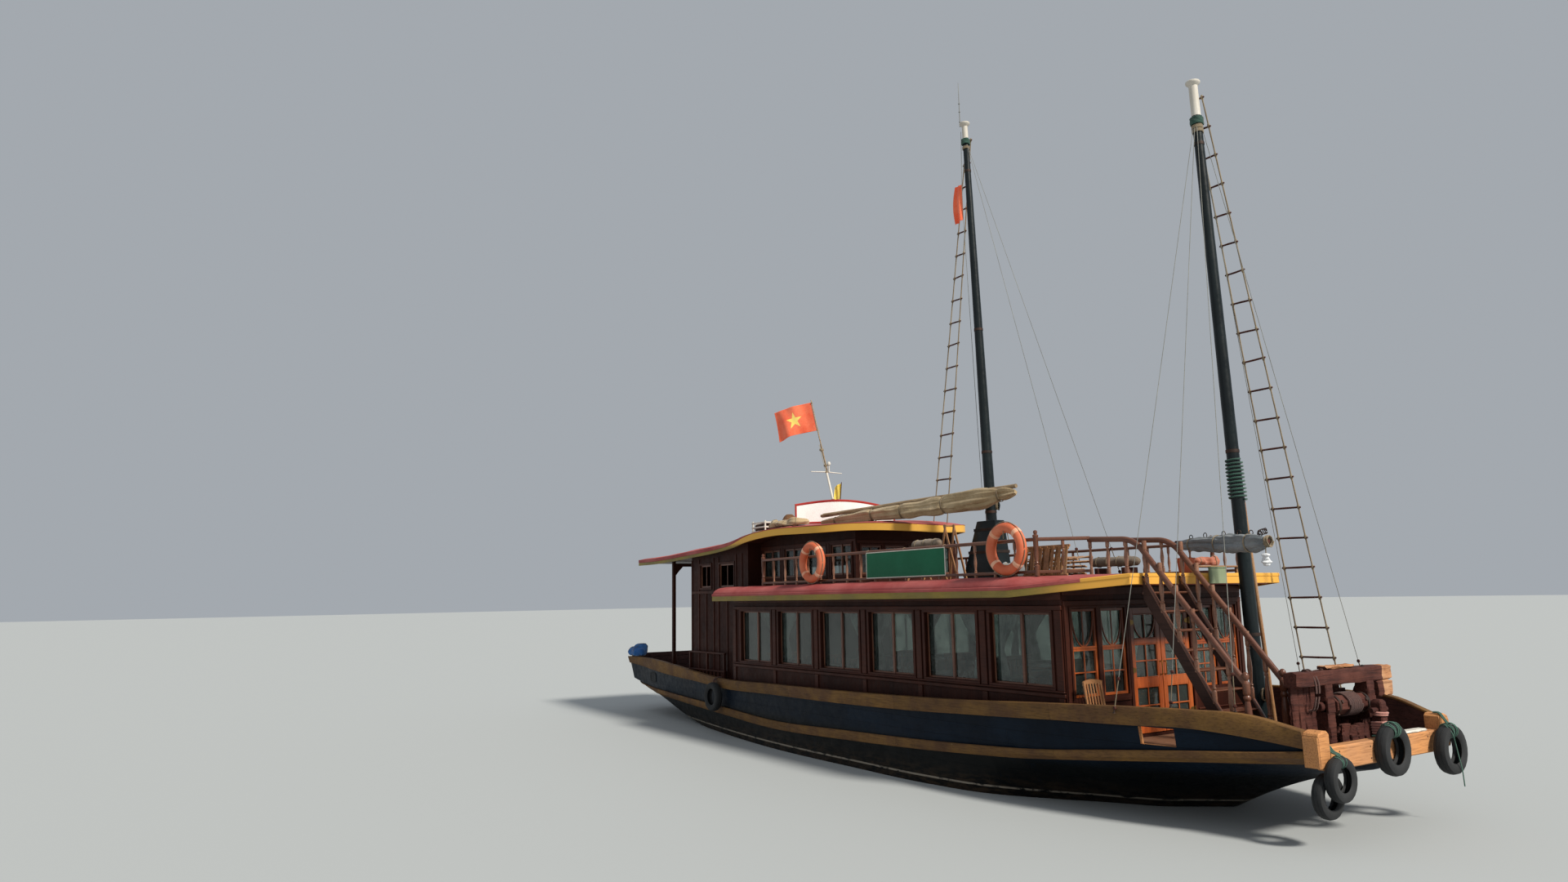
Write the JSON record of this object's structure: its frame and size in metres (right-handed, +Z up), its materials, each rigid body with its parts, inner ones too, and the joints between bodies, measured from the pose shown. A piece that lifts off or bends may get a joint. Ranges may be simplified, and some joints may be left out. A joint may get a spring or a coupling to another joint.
{
  "type": "two-masted wooden junk",
  "caption": "Decked wooden passenger junk afloat, with a glazed saloon, railed upper deck, pilothouse and stern house, masts with rolled sails, and tyre fenders.",
  "frame": {"origin": "on the centreline at the waterline, between the masts and the stern house", "axes": "+X to the bow, +Y to port, +Z up"},
  "size_m": [18.7423, 4.56, 13.2],
  "materials": {
    "hull_paint": "worn dark blue paint",
    "ochre_paint": "worn ochre paint",
    "yellow_paint": "yellow paint",
    "weathered_timber": "rough, weathered",
    "dark_wood": "dark varnish",
    "rail_wood": "worn varnish",
    "orange_varnish": "varnish",
    "window_glass": "clear",
    "roof_red": "faded red paint",
    "sign_green": "paint",
    "buoy_orange": "faded",
    "white_paint": "paint",
    "flag_cloth": "thin cloth",
    "mast_paint": "dark green-black paint",
    "sail_canvas": "weathered canvas",
    "rope": "laid rope",
    "tyre_rubber": "worn rubber",
    "bronze": "dull"
  },
  "bodies": {
    "boat": {"hull": "hull_paint", "keel": "hull_paint", "bulwark_starboard": "hull_paint", "bulwark_port": "hull_paint", "stern_board": "hull_paint", "rail_strake_starboard": "ochre_paint", "rail_strake_port": "ochre_paint", "wale_starboard": "ochre_paint", "wale_port": "ochre_paint", "bow_beam": "yellow_paint", "windlass_frame": "weathered_timber", "bollard": "weathered_timber", "cabin_wall_starboard": "dark_wood", "cabin_wall_port": "dark_wood", "cabin_sashes_starboard": "dark_wood", "cabin_sashes_port": "dark_wood", "cabin_glass_starboard": "window_glass", "cabin_glass_port": "window_glass", "cabin_front_wall": "dark_wood", "cabin_aft_bulkhead": "dark_wood", "saloon_furniture_starboard": "orange_varnish", "saloon_furniture_port": "orange_varnish", "lower_roof": "roof_red", "lower_fascia": "yellow_paint", "railing_starboard": "rail_wood", "railing_port": "rail_wood", "stairs": "dark_wood", "stair_rail_port": "rail_wood", "sign_board": "sign_green", "lifebuoy_forward": "buoy_orange", "lifebuoy_aft": "buoy_orange", "pilothouse": "dark_wood", "pilothouse_glass": "window_glass", "stern_house": "dark_wood", "upper_roof": "roof_red", "upper_fascia": "yellow_paint", "aft_post_frame": "dark_wood", "name_board": "white_paint", "flagpole": "white_paint", "flag": "flag_cloth", "main_tabernacle": "mast_paint", "main_mast": "mast_paint", "foremast": "mast_paint", "main_ladder": "rope", "fore_ladder": "rope", "main_stays": "rope", "fore_stays_starboard": "rope", "fore_stays_port": "rope", "fender_bow_starboard": "tyre_rubber", "fender_bow_middle": "tyre_rubber", "fender_bow_port": "tyre_rubber", "fender_quarter": "tyre_rubber"},
    "starboard_door": {"front_door_starboard": "orange_varnish"},
    "port_door": {"front_door_port": "orange_varnish"},
    "aft_door": {"stern_door": "dark_wood"},
    "barrel": {"windlass_barrel": "weathered_timber"},
    "main_sail": {"main_boom": "sail_canvas"},
    "fore_sail": {"fore_boom": "sail_canvas"},
    "steering": {"rudder": "weathered_timber"},
    "screw": {"propeller": "bronze"}
  },
  "joints": [
    {"name": "starboard_door_hinge", "type": "hinge", "parent": "boat", "child": "starboard_door", "pos_m": [4.5606, -0.622, 1.7], "axis": [0, 0, 1], "range_deg": [-100, 0]},
    {"name": "port_door_hinge", "type": "hinge", "parent": "boat", "child": "port_door", "pos_m": [4.5606, 0.662, 1.7], "axis": [0, 0, 1], "range_deg": [0, 100]},
    {"name": "aft_door_hinge", "type": "hinge", "parent": "boat", "child": "aft_door", "pos_m": [-7.0103, 0.382, 1.8], "axis": [0, 0, 1], "range_deg": [-100, 0]},
    {"name": "windlass_turn", "type": "hinge", "parent": "boat", "child": "barrel", "pos_m": [7.02, 0.15, 1.4], "axis": [0, 1, 0], "continuous": true},
    {"name": "main_boom_swing", "type": "hinge", "parent": "boat", "child": "main_sail", "pos_m": [1.298, 0, 4.46], "axis": [0, 0, 1], "range_deg": [0, 60]},
    {"name": "fore_boom_swing", "type": "hinge", "parent": "boat", "child": "fore_sail", "pos_m": [5.951, 0, 3.39], "axis": [0, 0, 1], "range_deg": [-70, 0]},
    {"name": "rudder_turn", "type": "hinge", "parent": "boat", "child": "steering", "pos_m": [-7.96, 0, 0], "axis": [0, 0, 1], "range_deg": [-35, 35]},
    {"name": "propeller_turn", "type": "hinge", "parent": "boat", "child": "screw", "pos_m": [-7.05, 0, -0.62], "axis": [1, 0, 0], "continuous": true}
  ]
}
